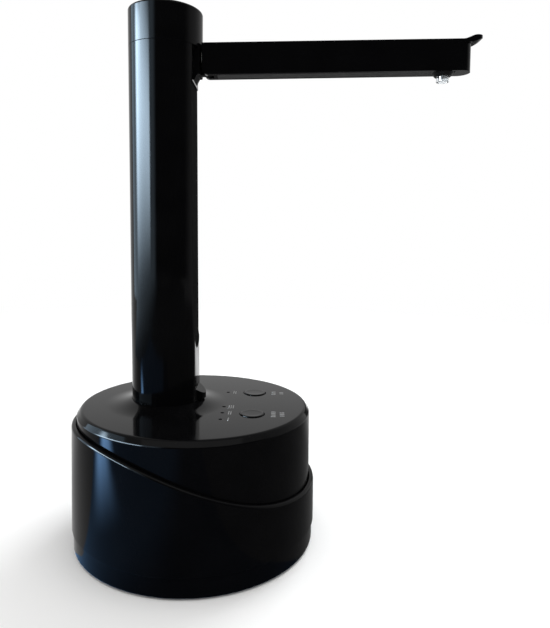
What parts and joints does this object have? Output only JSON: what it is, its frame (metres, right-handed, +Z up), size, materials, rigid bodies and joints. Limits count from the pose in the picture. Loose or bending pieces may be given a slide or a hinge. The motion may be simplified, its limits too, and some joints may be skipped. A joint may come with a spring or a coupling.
{
  "type": "water_jug_pump",
  "caption": "Glossy black electric water jug pump with a round two-part base, a tall column and a slim folding spout arm with a clear outlet",
  "frame": {"origin": "middle of the underside of the base, on the table", "axes": "+Z up, +X the way the spout arm points, +Y to the back where the hose inlet is"},
  "size_m": [0.1577, 0.1134, 0.2077],
  "materials": {
    "gloss_black": "polished black",
    "satin_black": "satin black",
    "pad_matte": "matte soft black",
    "foot_rubber": "matte rubber",
    "clear_tube": "clear soft tube",
    "lamp_white": "white lamp",
    "lens_smoke": "smoked lens",
    "board_green": "circuit board",
    "cell_wrap": "shrink wrap",
    "screw_steel": "zinc plated",
    "tab_nickel": "nickel plated",
    "contact_brass": "plain",
    "magnet_grey": "sintered",
    "pump_grey": "moulded",
    "gear_white": "moulded"
  },
  "bodies": {
    "base": {"base_plate": "satin_black", "foot_pad": "foot_rubber", "lower_sleeve": "gloss_black", "upper_housing": "gloss_black", "base_screws": "screw_steel", "control_board": "board_green", "board_screws": "screw_steel", "tact_switches": "satin_black", "status_leds": "lamp_white", "light_pipes": "lens_smoke", "charge_board": "board_green", "charge_socket": "screw_steel", "battery_cell": "cell_wrap", "cell_tabs": "tab_nickel", "battery_cradle": "satin_black", "hose_inlet": "satin_black", "suction_tube": "clear_tube", "delivery_tube": "clear_tube", "motor_case": "tab_nickel", "motor_end_cap": "satin_black", "motor_terminals": "contact_brass", "motor_magnets": "magnet_grey", "motor_bearings": "contact_brass", "motor_screws": "screw_steel", "pump_body": "pump_grey", "pump_cover": "pump_grey", "pump_screws": "screw_steel", "pump_feet": "foot_rubber", "shaft_seal": "foot_rubber", "gear_post": "screw_steel", "column_tube": "gloss_black", "column_cap": "gloss_black", "column_screws": "screw_steel", "rest_pad": "pad_matte", "hinge_hose": "clear_tube"},
    "arm": {"arm_shell": "gloss_black", "arm_floor": "satin_black", "nozzle_collar": "satin_black", "arm_tube": "clear_tube", "hinge_pin": "screw_steel", "friction_washers": "screw_steel"},
    "rotor": {"motor_rotor": "magnet_grey", "drive_gear": "gear_white"},
    "idler": {"driven_gear": "gear_white"},
    "rear_key": {"rear_button": "gloss_black", "rear_plunger": "gear_white"},
    "front_key": {"front_button": "gloss_black", "front_plunger": "gear_white"}
  },
  "joints": [
    {"name": "arm_fold", "type": "hinge", "parent": "base", "child": "arm", "pos_m": [0.0044, 0, 0.18665], "axis": [0, 1, 0], "range_deg": [0, 91], "deforming": ["hinge_hose"]},
    {"name": "motor_spin", "type": "hinge", "parent": "base", "child": "rotor", "pos_m": [-0.01705, -0.023, 0.0145], "axis": [0, 0, 1], "continuous": true},
    {"name": "idler_spin", "type": "hinge", "parent": "base", "child": "idler", "pos_m": [-0.00675, -0.023, 0.0145], "axis": [0, 0, 1], "continuous": true},
    {"name": "rear_press", "type": "slide", "parent": "base", "child": "rear_key", "axis": [0, 0, -1], "range_m": [0, 0.0005], "stiffness_N_per_m": 300, "springref_m": -0.001},
    {"name": "front_press", "type": "slide", "parent": "base", "child": "front_key", "axis": [0, 0, -1], "range_m": [0, 0.0005], "stiffness_N_per_m": 300, "springref_m": -0.001}
  ],
  "couplings": [
    {"joint": "idler_spin", "follows": "motor_spin", "ratio": -1}
  ]
}
